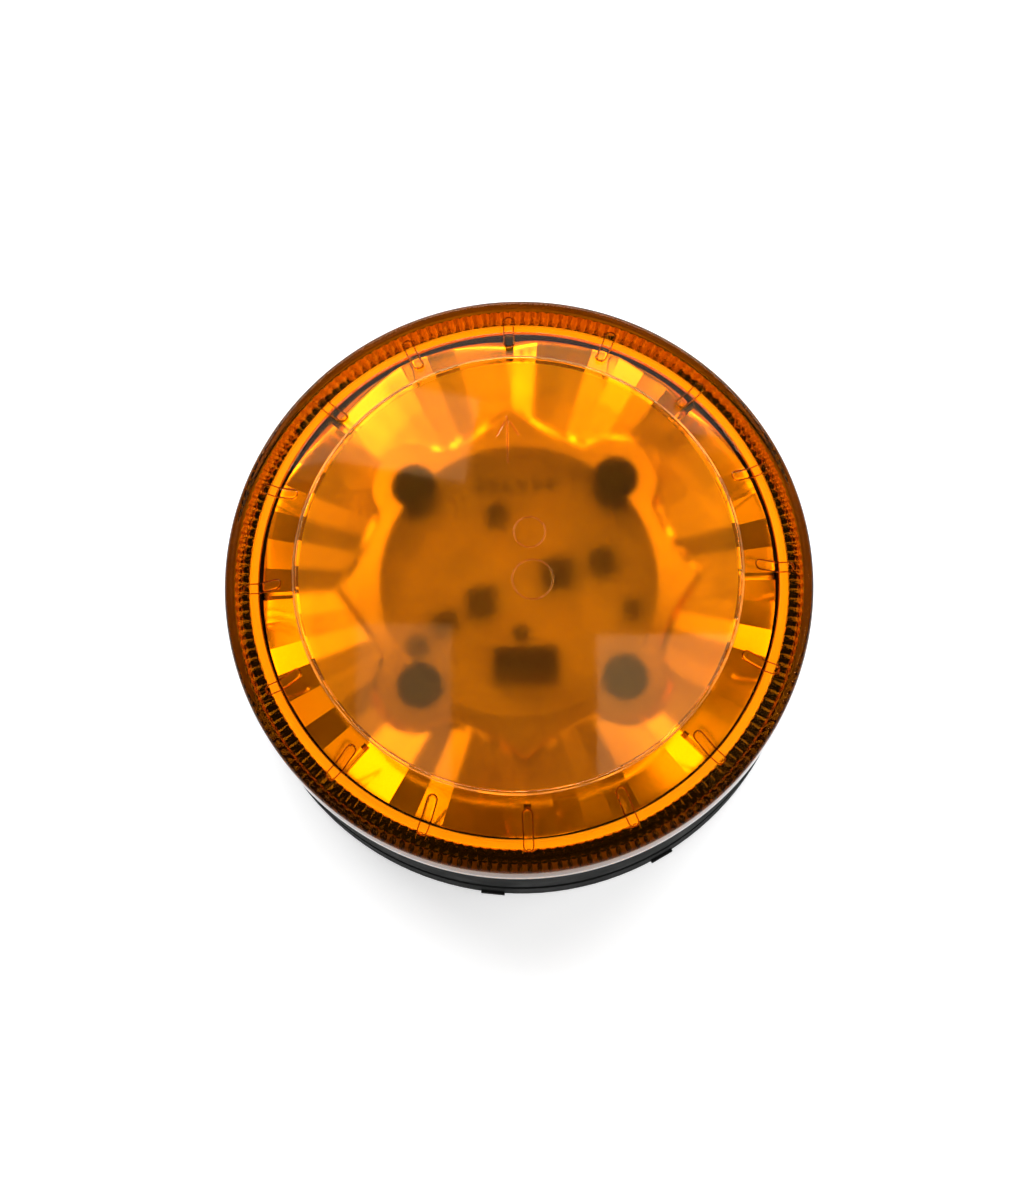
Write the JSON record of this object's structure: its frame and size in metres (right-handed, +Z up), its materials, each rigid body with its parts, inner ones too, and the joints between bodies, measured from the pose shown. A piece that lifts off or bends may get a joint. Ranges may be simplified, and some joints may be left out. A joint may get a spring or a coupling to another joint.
{
  "type": "amber led warning beacon",
  "caption": "Low-profile round warning beacon: amber twist-off lens with grip ribs and a frosted top over a lobed reflector, on a black base with bolt holes and a cable inlet.",
  "frame": {"origin": "centre of the underside of the foot gasket, on the mounting plane", "axes": "+Z up through the lens, along the beacon's axis; +X and +Y along the sides of the square of mounting holes"},
  "size_m": [0.144, 0.144, 0.06],
  "materials": {
    "black_housing": "moulded black ASA with a light sheen, fine mould texture",
    "gasket_rubber": "matt black EPDM",
    "seal_rubber": "smooth black nitrile",
    "amber_lens": "clear amber polycarbonate, polished, with a frosted disc on top",
    "metallised_reflector": "vacuum-metallised plastic, bright, faceted",
    "board_white": "white solder mask",
    "led_emitter": "white ceramic body with an amber silicone dome",
    "thermal_pad": "soft grey gap filler",
    "heat_plate": "plain rolled sheet",
    "screw_steel": "zinc plated",
    "insert_brass": "plain turned, knurled outside",
    "component_black": "black epoxy package",
    "capacitor_can": "satin can",
    "terminal_green": "dark green nylon",
    "vent_grey": "dark grey moulding"
  },
  "bodies": {
    "base": {"base_housing": "black_housing", "base_floor": "black_housing", "inlet_collar": "black_housing", "mount_pillar_1": "black_housing", "mount_pillar_2": "black_housing", "mount_pillar_3": "black_housing", "mount_pillar_4": "black_housing", "plate_standoff_1": "black_housing", "plate_standoff_2": "black_housing", "plate_standoff_3": "black_housing", "plate_standoff_4": "black_housing", "foot_gasket": "gasket_rubber", "seal_ring": "seal_rubber", "reflector": "metallised_reflector", "circuit_board": "board_white", "led_1": "led_emitter", "led_2": "led_emitter", "led_3": "led_emitter", "led_4": "led_emitter", "led_5": "led_emitter", "led_6": "led_emitter", "led_7": "led_emitter", "led_8": "led_emitter", "thermal_pad": "thermal_pad", "heat_plate": "heat_plate", "plate_screws": "screw_steel", "reflector_screws": "screw_steel", "threaded_inserts": "insert_brass", "driver_ic": "component_black", "mosfet_1": "component_black", "mosfet_2": "component_black", "inductor": "component_black", "capacitor_1": "capacitor_can", "capacitor_2": "capacitor_can", "diode": "component_black", "resistors": "component_black", "terminal_block": "terminal_green", "terminal_screws": "screw_steel", "cable_grommet": "gasket_rubber", "vent_plug": "vent_grey"},
    "lens_cover": {"lens": "amber_lens"}
  },
  "joints": [
    {"name": "lens_twist", "type": "hinge", "parent": "base", "child": "lens_cover", "pos_m": [0, 0, 0.04], "axis": [0, 0, 1], "range_deg": [0, 15]}
  ]
}
